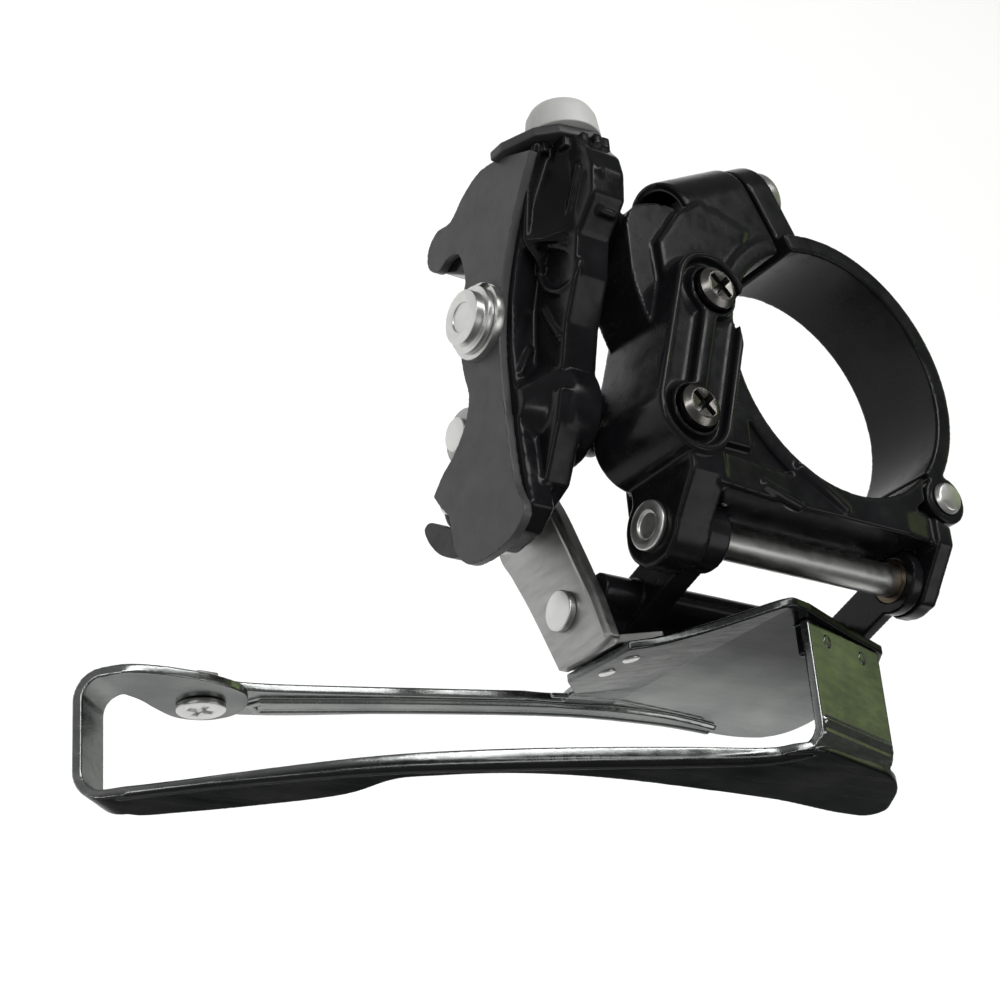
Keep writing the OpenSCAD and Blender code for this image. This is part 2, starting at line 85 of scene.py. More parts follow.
def object_point(mat, stretch=(1, 1, 1)):
    """Object coordinates in metres, stretched along an axis for brushed grain."""
    coords = node(mat, "ShaderNodeTexCoord")
    scale = node(mat, "ShaderNodeMapping")
    scale.inputs["Scale"].default_value = stretch
    link(mat, coords.outputs["Object"], scale.inputs["Vector"])
    return scale.outputs["Vector"]


def noise(mat, point, scale, detail=3.0, roughness=0.55):
    """Noise value at a point, with its scale per metre."""
    n = node(mat, "ShaderNodeTexNoise")
    n.inputs["Scale"].default_value = scale
    n.inputs["Detail"].default_value = detail
    n.inputs["Roughness"].default_value = roughness
    link(mat, point, n.inputs["Vector"])
    return n.outputs["Fac"]


def ramp(mat, fac, low, high, a, b):
    """Blend from value or colour a to b as fac goes from low to high."""
    n = node(mat, "ShaderNodeValToRGB")
    n.color_ramp.elements[0].position = low
    n.color_ramp.elements[1].position = high
    for element, value in zip(n.color_ramp.elements, (a, b)):
        element.color = (*value, 1) if isinstance(value, tuple) else (value, value, value, 1)
    link(mat, fac, n.inputs["Fac"])
    return n.outputs["Color"]


def bump(mat, shader, height, strength, distance_mm):
    """Small relief on a shader's normal."""
    n = node(mat, "ShaderNodeBump")
    n.inputs["Strength"].default_value = strength
    n.inputs["Distance"].default_value = distance_mm * MM
    link(mat, height, n.inputs["Height"])
    link(mat, n.outputs["Normal"], shader.inputs["Normal"])


def paint(name, dark, light, rough_low, rough_high, grain, gloss=0.3):
    """Paint over metal: mottled tone, uneven gloss and a fine orange peel."""
    mat, shader = new_material(name, dark, 0.0, rough_low)
    point = object_point(mat)
    broad = noise(mat, point, 140)
    link(mat, ramp(mat, broad, 0.3, 0.75, dark, light), shader.inputs["Base Color"])
    gloss_map = noise(mat, point, 420)
    link(mat, ramp(mat, gloss_map, 0.35, 0.7, rough_low, rough_high), shader.inputs["Roughness"])
    shader.inputs["Specular IOR Level"].default_value = gloss
    bump(mat, shader, noise(mat, point, 1500, detail=2.0), grain, 0.05)
    return mat


def metal(name, dark, light, rough_low, rough_high, stretch, grain):
    """Bare or plated metal: drawn grain along one axis, smudges and uneven gloss."""
    mat, shader = new_material(name, dark, 1.0, rough_low)
    smudge = noise(mat, object_point(mat), 90, detail=4.0)
    grain_fac = noise(mat, object_point(mat, stretch), 900, detail=4.0, roughness=0.65)
    link(mat, ramp(mat, smudge, 0.3, 0.7, dark, light), shader.inputs["Base Color"])
    link(mat, ramp(mat, grain_fac, 0.35, 0.65, rough_low, rough_high), shader.inputs["Roughness"])
    bump(mat, shader, grain_fac, grain, 0.03)
    return mat


# Stretch of the grain: none, or drawn along X
EVEN = (1, 1, 1)
CHROME_GRAIN = (0.12, 1, 1)

# Each slot: dark and light tone, lowest and highest roughness, then for a paint its
# orange peel and gloss, and for a metal the stretch and depth of its grain
PAINTS = {
    "black_paint": ((0.003, 0.003, 0.0035), (0.007, 0.007, 0.008), 0.16, 0.3, 0.12, 0.15),
    "satin_grey": ((0.028, 0.028, 0.029), (0.04, 0.04, 0.041), 0.36, 0.48, 0.35),
    "grey_plastic": ((0.3, 0.3, 0.29), (0.38, 0.38, 0.37), 0.4, 0.52, 0.3),
    "black_plastic": ((0.005, 0.005, 0.005), (0.01, 0.01, 0.01), 0.4, 0.55, 0.4),
    "nylon": ((0.5, 0.5, 0.47), (0.62, 0.62, 0.59), 0.4, 0.5, 0.2),
}
METALS = {
    "bronze": ((0.09, 0.07, 0.05), (0.14, 0.11, 0.08), 0.35, 0.5, EVEN, 0.3),
    "black_steel": ((0.1, 0.095, 0.087), (0.2, 0.19, 0.18), 0.2, 0.34, EVEN, 0.3),
    "fastener_steel": ((0.5, 0.5, 0.49), (0.62, 0.62, 0.6), 0.28, 0.4, EVEN, 0.12),
    "galvanised_steel": ((0.26, 0.26, 0.26), (0.36, 0.36, 0.35), 0.36, 0.5, (1, 1, 0.2), 0.5),
    "chrome_sheet": ((0.1, 0.105, 0.105), (0.17, 0.175, 0.17), 0.15, 0.3, CHROME_GRAIN, 0.25),
}
MATERIALS = {name: paint(name, *values) for name, values in PAINTS.items()}
MATERIALS.update({name: metal(name, *values) for name, values in METALS.items()})


def painted_reflection_sheet(name, axis, low, high, dark, light, edge):
    """Chromed sheet with a painted reflection: its tone goes from dark to light between two places on one
    axis, in mm, standing in for the dark and bright surroundings it mirrors.

    edge is how much it still mirrors at a grazing angle.
    """
    mat = metal(name, (0.11, 0.115, 0.115), (0.17, 0.175, 0.17), 0.15, 0.3, CHROME_GRAIN, 0.25)
    shader = mat.node_tree.nodes["Principled BSDF"]
    tint = shader.inputs["Base Color"].links[0].from_socket
    shader.inputs["Specular Tint"].default_value = (edge, edge, edge, 1)
    # painted reflection: the base colour is scaled from dark to light along one axis
    split = node(mat, "ShaderNodeSeparateXYZ")
    link(mat, object_point(mat), split.inputs["Vector"])
    place = node(mat, "ShaderNodeMapRange")
    place.inputs["From Min"].default_value = low * MM
    place.inputs["From Max"].default_value = high * MM
    place.inputs["To Min"].default_value = dark
    place.inputs["To Max"].default_value = light
    link(mat, split.outputs[axis], place.inputs["Value"])
    scale = node(mat, "ShaderNodeVectorMath", operation="SCALE")
    link(mat, tint, scale.inputs[0])
    link(mat, place.outputs["Result"], scale.inputs["Scale"])
    link(mat, scale.outputs["Vector"], shader.inputs["Base Color"])
    return mat


# Looks of single nodes that differ from the rest of their slot: a painted reflection that darkens the
# outboard face on the outer plate, and a painted reflection that darkens the inner plate towards the
# bridge
LOOKS = {
    # painted reflection: the outer plate's outboard face is darker than its inboard side
    "cage_outer_plate": painted_reflection_sheet("chrome_outer_painted_reflection", "Y", -50.5, -49.9, 0.28, 1.8, 0.36),
    # painted reflection: the inner plate's chrome is darker towards its top, by the bridge
    "cage_inner_plate": painted_reflection_sheet("chrome_inner_painted_reflection", "Z", -8, -27, 0.4, 1.9, 0.55),
    "bridge_rivets": MATERIALS["chrome_sheet"],
}


# ---- meshes ----
def cad_copy(name):
    """A welded copy of a CAD node's mesh, in millimetres, as a bmesh."""
    bm = bmesh.new()
    bm.from_mesh(frame["nodes"][name].data)
    bm.transform(Matrix.Scale(1 / MM, 4))
    bmesh.ops.remove_doubles(bm, verts=bm.verts, dist=1e-4)
    return bm


def as_object(bm, name):
    """Turn a bmesh into an object in the scene, and free it."""
    mesh = bpy.data.meshes.new(name)
    bm.to_mesh(mesh)
    bm.free()
    obj = bpy.data.objects.new(name, mesh)
    bpy.context.scene.collection.objects.link(obj)
    return obj


def apply_modifiers(obj):
    """Bake the modifiers of a piece into its mesh."""
    graph = bpy.context.evaluated_depsgraph_get()
    baked = bpy.data.meshes.new_from_object(obj.evaluated_get(graph))
    obj.modifiers.clear()
    old, obj.data = obj.data, baked
    bpy.data.meshes.remove(old)


def points_of(obj):
    """The points of an object's mesh, as rows of an array."""
    co = np.empty(len(obj.data.vertices) * 3)
    obj.data.vertices.foreach_get("co", co)
    return co.reshape(-1, 3)


def set_points(obj, co):
    """Put an array of points back into an object's mesh."""
    obj.data.vertices.foreach_set("co", np.ascontiguousarray(co).ravel())
    obj.data.update()


def finish_piece(obj, name, smooth_angle):
    """Back to metres, material, body and slot of the CAD node it stands for."""
    obj.data.transform(Matrix.Scale(MM, 4))
    obj.data.materials.clear()
    obj.data.materials.append(LOOKS.get(name, MATERIALS[SLOTS[name]]))
    for p in obj.data.polygons:
        p.use_smooth = True
    obj.data.set_sharp_from_angle(angle=math.radians(smooth_angle))
    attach(obj, BODIES[name])
    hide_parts(name)


def fused(bm, name, voxel, smoothing):
    """One closed skin around overlapping solids, with its edges worn round."""
    obj = as_object(bm, name)
    remesh = obj.modifiers.new("remesh", "REMESH")
    remesh.mode = "VOXEL"
    remesh.voxel_size = voxel * 1
    relax = obj.modifiers.new("relax", "SMOOTH")
    relax.factor = 0.5
    relax.iterations = smoothing
    apply_modifiers(obj)
    return obj


def moulded(name, voxel, smoothing, extra=None, shape=None, holes=None, from_cad=True, keep=0.5, wear=0):
    """A casting or sheet with rounded edges, fused from overlapping solids and smoothed.

    extra(bm) adds solids to the CAD mesh, or makes the whole piece when from_cad is off;
    shape(co) moves the points of the fused mesh; holes(bm) makes the solids cut out last;
    wear rounds the CAD mesh that many times before anything is added.
    """
    bm = cad_copy(name) if from_cad else bmesh.new()
    if wear:
        worn = fused(bm, name + "_worn", voxel, wear)
        bm = bmesh.new()
        bm.from_mesh(worn.data)
        bpy.data.objects.remove(worn)
    if extra:
        added = bmesh.new()
        extra(added)
        solids = bpy.data.meshes.new(name + "_added")
        added.to_mesh(solids)
        added.free()
        bm.from_mesh(solids)
        bpy.data.meshes.remove(solids)
    obj = fused(bm, name + "_skin", voxel, smoothing)
    if shape:
        set_points(obj, shape(points_of(obj)))
    lean = obj.modifiers.new("lean", "DECIMATE")
    lean.ratio = keep
    apply_modifiers(obj)
    if holes:
        bm = bmesh.new()
        holes(bm)
        cutter = as_object(bm, name + "_cutter")
        cut = obj.modifiers.new("cut", "BOOLEAN")
        cut.operation = "DIFFERENCE"
        cut.object = cutter
        apply_modifiers(obj)
        bpy.data.objects.remove(cutter)
    finish_piece(obj, name, smooth_angle=50)


def bevelled(name, shape=None):
    """A machined piece: its CAD mesh with a small bevel on each sharp edge.

    shape(point) may move the points of the CAD mesh first.
    """
    bm = cad_copy(name)
    if shape:
        for v in bm.verts:
            v.co = shape(v.co)
    bmesh.ops.dissolve_limit(bm, angle_limit=math.radians(1), verts=bm.verts, edges=bm.edges)
    obj = as_object(bm, name + "_skin")
    bevel = obj.modifiers.new("bevel", "BEVEL")
    bevel.width = 0.2
    bevel.segments = 3
    bevel.limit_method = "ANGLE"
    bevel.angle_limit = math.radians(32)
    bevel.use_clamp_overlap = True
    apply_modifiers(obj)
    finish_piece(obj, name, smooth_angle=40)


# ---- solids added to a bmesh, in millimetres ----
def spline(points, corners=(), steps=6, closed=True):
    """Smooth curve through the points (centripetal Catmull-Rom), sharp at the listed corners."""
    pts = [Vector(p) for p in points]
    n = len(pts)
    out = []
    for i in range(n if closed else n - 1):
        b, c = pts[i], pts[(i + 1) % n]
        a = pts[i - 1] if (closed or i > 0) and i not in corners else b + (b - c)
        open_end = not closed and i + 2 >= n
        d = c + (c - b) if open_end or (i + 1) % n in corners else pts[(i + 2) % n]
        t0, t1 = 0.0, (b - a).length ** 0.5
        t2 = t1 + (c - b).length ** 0.5
        t3 = t2 + (d - c).length ** 0.5
        for k in range(steps):
            t = t1 + (t2 - t1) * k / steps
            a1 = a.lerp(b, (t - t0) / (t1 - t0))
            a2 = b.lerp(c, (t - t1) / (t2 - t1))
            a3 = c.lerp(d, (t - t2) / (t3 - t2))
            b1 = a1.lerp(a2, (t - t0) / (t2 - t0))
            b2 = a2.lerp(a3, (t - t1) / (t3 - t1))
            out.append(b1.lerp(b2, (t - t1) / (t2 - t1)))
    if not closed:
        out.append(pts[-1])
    return out


def prism(bm, outline, place, lo, hi):
    """Closed solid: an outline in the plane, with place(u, v, w) giving points for w = lo and hi."""
    rings = [[bm.verts.new(place(p[0], p[1], w)) for p in outline] for w in (lo, hi)]
    faces = [bm.faces.new(rings[0]), bm.faces.new(list(reversed(rings[1])))]
    n = len(outline)
    for i in range(n):
        j = (i + 1) % n
        faces.append(bm.faces.new((rings[0][j], rings[0][i], rings[1][i], rings[1][j])))
    bmesh.ops.recalc_face_normals(bm, faces=faces)


def across_x(u, v, w):
    """Outline in Y and Z, thickness along X."""
    return (w, u, v)


def across_y(u, v, w):
    """Outline in X and Z, thickness along Y."""
    return (u, w, v)


def across_z(u, v, w):
    """Outline in X and Y, thickness along Z."""
    return (u, v, w)


def arc(u, v, radius, start, end, steps):
    """Points of an arc round (u, v), between two angles in degrees."""
    turns = [math.radians(start + (end - start) * i / steps) for i in range(steps + 1)]
    return [(u + radius * math.cos(t), v + radius * math.sin(t)) for t in turns]


def rod(bm, a, b, radius, segments=40):
    """Cylinder from point a to point b."""
    a, b = Vector(a), Vector(b)
    turn = (b - a).to_track_quat("Z", "Y").to_matrix().to_4x4()
    bmesh.ops.create_cone(
        bm, cap_ends=True, segments=segments, radius1=radius, radius2=radius, depth=(b - a).length,
        matrix=Matrix.Translation((a + b) / 2) @ turn,
    )


def tube(bm, path, radius):
    """Rounded bead along a path: a ball at each point and a rod between them."""
    path = [Vector(p) for p in path]
    for p in path:
        at = Matrix.Translation(p)
        bmesh.ops.create_uvsphere(bm, u_segments=16, v_segments=10, radius=radius, matrix=at)
    for a, b in zip(path, path[1:]):
        rod(bm, a, b, radius, segments=16)


def block(bm, low, high):
    """Box between two corners."""
    low, high = Vector(low), Vector(high)
    size = Matrix.Diagonal(high - low).to_4x4()
    bmesh.ops.create_cube(bm, size=1, matrix=Matrix.Translation((low + high) / 2) @ size)


# ---- castings ----
# Pivots in Y and Z: A and E on the inner link, B and F on the cable arm
LINK_LENGTH, LINK_LEAN = 16.5, math.radians(18.8)
PIVOT_A, PIVOT_B = (-24.3, -1.2), (-8.2, -7.6)
LINK = (-LINK_LENGTH * math.sin(LINK_LEAN), -LINK_LENGTH * math.cos(LINK_LEAN))
PIVOT_E = (PIVOT_A[0] + LINK[0], PIVOT_A[1] + LINK[1])
PIVOT_F = (PIVOT_B[0] + LINK[0], PIVOT_B[1] + LINK[1])
# Radii of the cage's holes at E and F, and the place of the cable anchor in Y and Z
HOLE_E_R, HOLE_F_R = 2.15, 2.2
ANCHOR = (4.6, -10.9)


def body_extra(bm):
    """Ribs on the wall over the link rod, a bead by the clamp boss, the flank, and a rear ridge."""
    tube(bm, [(-16.4, -19.9, 6.3), (-13.4, -20.7, 6.2), (-10.6, -21.2, 5.9)], 0.8)
    tube(bm, [(-9.7, -16.2, 6.2), (-6.2, -18.2, 6.3), (-2.9, -20.0, 6.0)], 0.9)
    tube(bm, [(-20.6, 14.6, 3.5), (-25.0, 14.9, 3.3), (-28.6, 15.4, 3.0), (-30.4, 14.2, 2.4)], 0.5)
    # the body filled out towards the arm
    flank = spline([(-27, -2), (-30.6, 4), (-31.3, 10), (-30.6, 16), (-26, 18.6), (-21, 18), (-20, 4)])
    prism(bm, flank, across_z, -4, 4.4)
    tube(bm, [(-27.2, -17.9, 7.0), (-26.4, -19.6, 4.6), (-25.2, -21.4, 3.6)], 0.6)


def arm_extra(bm):
    """Raised rims of the pocket, a ring boss below it, and teeth under the end cover."""
    rim = [(-41.9, 22.6, -0.2), (-41.6, 12.4, -2.5), (-38.5, 11.4, 1.2), (-38.5, 19.3, 5.2)]
    for a, b, r in ((0, 1, 0.5), (1, 2, 0.5), (2, 3, 0.6)):
        tube(bm, [rim[a], rim[b]], r)
    # edges above and below the pocket, then the ring boss
    tube(bm, [(-37.3, 18.0, 7.4), (-36.5, 13.3, 5.8), (-34.6, 13.2, 5.8)], 0.5)
    tube(bm, [(-41.3, 12.0, -2.6), (-39.9, 10.2, -2.6), (-39.0, 9.4, -3.4)], 0.5)
    ring = [
        (-39.0, 11.6, -2.3), (-38.3, 10.2, 0.8), (-37.9, 7.3, 2.5), (-38.0, 5.4, 1.4),
        (-38.5, 4.9, -0.8), (-38.8, 6.6, -3.2), (-38.9, 9.4, -3.9),
    ]
    tube(bm, spline(ring, steps=4) + [Vector(ring[0])], 0.5)
    # two ribs below the ring
    tube(bm, [(-38.5, 4.2, -4.4), (-38.4, 1.4, -3.2), (-38.5, -0.6, -2.0)], 0.5)
    tube(bm, [(-39.3, -0.3, -7.0), (-41.0, -3.9, -7.1)], 0.5)
    # teeth under the end cover
    for x, z in ((-40.6, 2.0), (-39.0, 4.2), (-37.4, 5.8), (-35.8, 6.4), (-34.4, 6.2)):
        block(bm, (x - 0.55, 22.9, z - 2.2), (x + 0.55, 24.5, z))


moulded("body", 0.2, 4, extra=body_extra, wear=12)
moulded("clamp_band", 0.2, 8)
moulded("inner_link", 0.22, 5)
moulded("cable_arm", 0.18, 4, extra=arm_extra, wear=20)
moulded("arm_end_cover", 0.14, 3)


def face_plate_extra(bm):
    """Smooth outline of the plate on the arm."""
    outline = spline([
        (22.4, 1.9), (16, -2.4), (10.4, -5.2), (5, -7), (-1, -7.9), (-10, -7.9), (-19.1, -7.2),
        (-23.2, -5.9), (-25.2, -8.2), (-25.9, -11.5), (-25.9, -15), (-25.2, -18), (-22.8, -20.3),
        (-19.6, -20.9), (-17.4, -21.2), (-15.6, -22.8), (-13.4, -24.3), (-11.4, -22.0), (-9.8, -19.2),
        (-7, -16.4), (-3.8, -15.1), (0, -15.8), (4.8, -16.1), (9.5, -15.4), (12, -13.9), (14.4, -14),
        (17.0, -15), (17.6, -17.4), (16.9, -19.6), (18.6, -21.7), (21.2, -21.5), (22.8, -19.3),
        (22.5, -16.1), (24.5, -12.9), (25.8, -9.1), (25.2, -4.9),
    ], corners=(0, 14, 16), steps=5)
    prism(bm, outline, across_x, -43.2, -42.0)


moulded(
    "arm_face_plate", 0.12, 3, extra=face_plate_extra, from_cad=False,
    holes=lambda bm: rod(bm, (-46, *ANCHOR), (-40, *ANCHOR), 2.6),
)


def guide_extra(bm):
    """Smooth outline of the cable guide hook."""
    outline = spline([
        (-22.6, -20.3), (-22.2, -22.6), (-20.4, -25.8), (-17.5, -28.2), (-15.7, -28.7), (-15.3, -27.6),
        (-17, -24.6), (-18.2, -22.6), (-18.6, -20.3),
    ], corners=(0, 8))
    prism(bm, outline, across_x, -41.9, -39.9)


moulded("cable_guide", 0.12, 3, extra=guide_extra, from_cad=False)


# ---- chain cage ----
# Thickness of the sheet, clearance between two sheets, and the middle planes of the plates
SHEET = 1.2
HALF = SHEET / 2
GAP = 0.02
INNER_Y, OUTER_Y = -33.6, -50.0
# Tail screw and rear end of the bridge, in X and Z
TAIL_AT = (-63.4, -48.8)
BRIDGE_AT = (-8.8, 1.4)
BRIDGE_TILT = math.radians(17)
BRIDGE_LENGTH = 17.4
BRIDGE_RIVETS_X = (4.2, 12.8)
# The plate's rear leans by this angle, with two rivets through it
REAR_LEAN = math.radians(12)
BRACKET_RIVETS_Z = (-16, -11.2)
BRACKET_X = (-30.2, -28.7)


def on_bridge(x, y, z):
    """Point of the sloping bridge, from its own along, across and up."""
    c, s = math.cos(BRIDGE_TILT), math.sin(BRIDGE_TILT)
    return Vector((BRIDGE_AT[0] + x * c + z * s, y, BRIDGE_AT[1] - x * s + z * c))


def slab(bm, outline, z_lo, z_hi):
    """Sheet lying on the bridge plane, with its outline given along and across."""
    prism(bm, outline, on_bridge, z_lo, z_hi)


def bridge_section(bm, section, x_lo, x_hi):
    """Solid along the bridge, with its section given across and up."""
    prism(bm, section, lambda u, v, w: on_bridge(w, u, v), x_lo, x_hi)


def cage_holes(bm):
    """Holes that both plates share: tail screw and bridge rivets."""
    rod(bm, (TAIL_AT[0], -42, TAIL_AT[1]), (TAIL_AT[0], -28, TAIL_AT[1]), 1.6)
    for x in BRIDGE_RIVETS_X:
        rod(bm, on_bridge(x, INNER_Y - 2.6, -3), on_bridge(x, INNER_Y - 2.6, 3), 0.9)


def bracket_rivet_holes(bm):
    """Holes through the rear of the inner plate and the tab of the bracket."""
    reach = 4 * Vector((math.sin(REAR_LEAN), -math.cos(REAR_LEAN), 0))
    for z in BRACKET_RIVETS_Z:
        middle = Vector((-25.4, -35.9, z))
        rod(bm, middle - reach, middle + reach, 1.1)


def inner_holes(bm):
    """All holes of the inner plate."""
    cage_holes(bm)
    bracket_rivet_holes(bm)
    rod(bm, (-40, *PIVOT_E), (30, *PIVOT_E), HOLE_E_R)


def inner_extra(bm):
    """Inner plate, flat: its broad middle, its tail, the pressed rib, the pivot lug and the ledge."""
    middle = spline([
        (-29, -19), (-28.6, -13), (-28.4, -7.4), (-24.8, -6.6), (-20.1, -3.2), (-17.1, 0.4), (-13.4, 4.6),
        (-9.4, 4.2), (0, 0.6), (9.2, -2.6), (13.2, -8.4), (16.6, -16), (17.8, -24), (16.4, -30.0),
        (11.4, -33.4), (4, -34.8), (-8, -35.8), (-17, -36.6), (-20, -31.6), (-24, -24.4),
    ], corners=(0, 2, 7, 9, 17))
    prism(bm, middle, across_y, INNER_Y - HALF, INNER_Y + HALF)
    tail = spline([
        (-17, -31.2), (-38, -38.4), (-57, -44.6), (-60.6, -45.2), (-64, -44.8), (-67.2, -47),
        (-67.6, -50.6),
        (-64.6, -53.2), (-58, -53.6), (-52, -52.0), (-36, -44.8), (-16, -36.8), (-10, -36.2), (-10, -33),
    ], corners=(0, 12, 13))
    prism(bm, tail, across_y, INNER_Y - HALF, INNER_Y + HALF)
    # pressed rib: a raised band between two beads, narrower towards the front
    y = INNER_Y - HALF
    bead_y, bead_r = y - 0.2, 0.48
    top = [(-55.8, -47.2), (-36, -39.5), (-16, -33.1), (-4, -31.8), (5.6, -32.3)]
    low = [(-54.6, -50.5), (-36, -42.8), (-16, -35.9), (-4, -34.2), (5.6, -33.6)]
    top, low = (spline(line, closed=False, steps=4) for line in (top, low))
    prism(bm, top + low[::-1], across_y, y - 0.35, y + 0.2)
    for line in (top, low, [(-55.8, -47.2), (-56.6, -48.9), (-54.6, -50.5)]):
        tube(bm, [(p[0], bead_y, p[1]) for p in line], bead_r)
    # shallow line over the rib
    tube(bm, [(-24, y + 0.15, -28.6), (-12, y + 0.15, -29.4), (2, y + 0.15, -30.4)], 0.4)
    # front lug of the lower pivot
    lug_r = 4.2
    root = [(INNER_Y, PIVOT_E[1] + side * lug_r) for side in (-1, 1)]
    lug = root[:1] + arc(*PIVOT_E, lug_r, -90, 90, 12) + root[1:]
    prism(bm, lug, across_x, 13.4, 14.8)
    # ledge under the bridge
    ledge = [(0.9, INNER_Y - 4.6), (16.5, INNER_Y - 4.6), (16.5, INNER_Y), (0.9, INNER_Y)]
    slab(bm, ledge, -SHEET - GAP, -GAP)


def bend_rear(co):
    """Lean the rear of the plate outboard to meet the bracket, and bow its low front corner."""
    rear = np.clip((-12.5 - co[:, 0]) / 16.5, 0, 1) * np.clip((co[:, 2] + 34) / 10, 0, 1)
    bow = np.clip((co[:, 0] + 4) / 18, 0, 1) ** 2 * np.clip((-22 - co[:, 2]) / 12, 0, 1)
    co[:, 1] -= 3.8 * rear + 1.1 * bow
    return co


moulded(
    "cage_inner_plate", 0.16, 3,
    extra=inner_extra, shape=bend_rear, holes=inner_holes, from_cad=False, keep=0.4,
)


def sweep(bm, path, start, along, width, half, thick):
    """Flat strip of a given half width that follows a path of (forward, y) steps from start."""
    rings = []
    for i, (f, y) in enumerate(path):
        a, b = path[max(i - 1, 0)], path[min(i + 1, len(path) - 1)]
        step = Vector((b[0] - a[0], b[1] - a[1])).normalized()
        normal = along * step.y - Vector((0, 1, 0)) * step.x
        centre = start + along * f + Vector((0, y, 0))
        ring = []
        for across, off in ((-half, -1), (half, -1), (half, 1), (-half, 1)):
            ring.append(bm.verts.new(centre + width * across + normal * off * thick / 2))
        rings.append(ring)
    faces = [bm.faces.new(rings[0]), bm.faces.new(list(reversed(rings[-1])))]
    for lo, hi in zip(rings, rings[1:]):
        for i in range(4):
            j = (i + 1) % 4
            faces.append(bm.faces.new((lo[j], lo[i], hi[i], hi[j])))
    bmesh.ops.recalc_face_normals(bm, faces=faces)


def outer_face(bm):
    """Flat face of the outer plate, with the lip rolled outboard along its top edge."""
    outline = spline([
        (-10.4, -0.2), (-8.4, 1.0), (0, -0.9), (8, -3.4), (12.0, -6.4), (15.4, -10.8), (17.4, -14.4),
        (16.6, -16.8), (12, -17.2), (0, -15.8), (-12.4, -15.9), (-24, -16.4), (-32.6, -17.7), (-40, -20),
        (-46, -23.2), (-50.0, -26), (-52.6, -33), (-61, -41), (-68, -46.4), (-71.6, -48.8),
        (-73.7, -48.9), (-78.3, -44.5), (-73.6, -40.2), (-68, -34.4), (-54.5, -22.2), (-44, -15.8),
        (-32.2, -10.3), (-22, -6.2), (-12, -2.4),
    ], corners=(20, 21))
    prism(bm, outline, across_y, OUTER_Y - HALF, OUTER_Y + HALF)
    # low at both ends
    lip = spline([
        (-76.6, OUTER_Y, -43.6), (-68, OUTER_Y - 0.3, -34.9), (-54.2, OUTER_Y - 0.8, -22.8),
        (-44, OUTER_Y - 1.1, -16.6), (-32.2, OUTER_Y - 1.1, -11.1), (-22, OUTER_Y - 1.0, -7.0),
        (-12, OUTER_Y - 0.6, -3.2), (-8.4, OUTER_Y - 0.2, -0.6),
    ], closed=False, steps=4)
    tube(bm, lip, 0.8)


def outer_bridge(bm):
    """Bridge to the inner plate, with a round corner down to the face and two ridges along it."""
    radius = 2.6
    near, far = OUTER_Y + radius, INNER_Y - HALF - GAP
    slab(bm, [(0, near), (BRIDGE_LENGTH, near), (BRIDGE_LENGTH, far), (0, far)], 0, SHEET)
    big = radius + HALF
    centre = (OUTER_Y + radius, SHEET - big)
    corner = arc(*centre, big, 180, 90, 8) + arc(*centre, big - SHEET, 90, 180, 8)
    bridge_section(bm, corner, 0, BRIDGE_LENGTH)
    top = centre[1] + 0.1
    skirt = [(OUTER_Y - HALF, top), (OUTER_Y + HALF, top), (OUTER_Y + HALF, -7), (OUTER_Y - HALF, -7)]
    bridge_section(bm, skirt, 0.3, 16.6)
    for y, z in ((1.6, SHEET - 0.5), (3.0, SHEET - 0.15)):
        tube(bm, [on_bridge(0.8, OUTER_Y + y, z), on_bridge(16.6, OUTER_Y + y, z)], 0.5)


def outer_tail(bm):
    """Tail: a U-bend round to the inner plate, and the leg that the tail screw holds."""
    along = Vector((0.689, 0, 0.725))
    width = Vector((0.725, 0, -0.689))
    start = Vector((-78.2, 0, -49.1))
    leg = INNER_Y - SHEET - 0.01
    bend = 3.2
    path = [(6, OUTER_Y)] + arc(bend, OUTER_Y + bend, bend, -90, -180, 8)
    path += arc(bend, leg - bend, bend, 180, 90, 8) + [(4.2, leg)]
    sweep(bm, path, start, along, width, 3.4, SHEET)
    lug = spline([
        (-78.6, -44.6), (-76.4, -42.4), (-73, -41.4), (-68.8, -41.2), (-64, -41.8), (-60.0, -43.6),
        (-57.9, -47.2), (-57.9, -51), (-60.4, -53.8), (-64.2, -54.2), (-68, -52.2), (-71, -50.2),
        (-73.7, -49.1),
    ], corners=(0, 12))
    prism(bm, lug, across_y, leg - HALF, leg + HALF - 0.01)


def outer_extra(bm):
    """The whole outer plate."""
    outer_face(bm)
    outer_bridge(bm)
    outer_tail(bm)


moulded("cage_outer_plate", 0.16, 6, extra=outer_extra, holes=cage_holes, from_cad=False, keep=0.4)


def bracket_extra(bm):
    """Rear bracket: its flat plate, a bead along the upper edge, and the tab folded to the inner plate."""
    outline = spline([
        (-36.6, -19), (-36.6, -12), (-35.8, -8.4), (-30.2, -10.2), (-22, -13.6), (-14.6, -17),
        (-9.8, -20.4), (-8.6, -24.6), (-11.6, -28.8), (-17.2, -29.2), (-21, -27), (-26, -24.2),
        (-32, -21.2),
    ], corners=(0, 2, 3))
    prism(bm, outline, across_x, *BRACKET_X)
    bead_x = BRACKET_X[0] + 0.1
    bead = ((-35.4, -9.4), (-30.0, -11.2), (-22.0, -14.6), (-14.8, -17.9))
    tube(bm, [(bead_x, y, z) for y, z in bead], 0.4)
    low, high = Vector((-29.3, -36.1, 0)), Vector((-21.5, -34.3, 0))
    side = Vector((-(high - low).y, (high - low).x, 0)).normalized() * HALF
    tab = [low - side, high - side, high + side, low + side]
    prism(bm, tab, across_z, -18.4, -8.8)


def bracket_holes(bm):
    """Both pivot holes and the rivet holes of the bracket."""
    bracket_rivet_holes(bm)
    rod(bm, (-40, *PIVOT_E), (30, *PIVOT_E), HOLE_E_R)
    rod(bm, (-40, *PIVOT_F), (30, *PIVOT_F), HOLE_F_R)


moulded("cage_rear_bracket", 0.12, 3, extra=bracket_extra, holes=bracket_holes, from_cad=False)


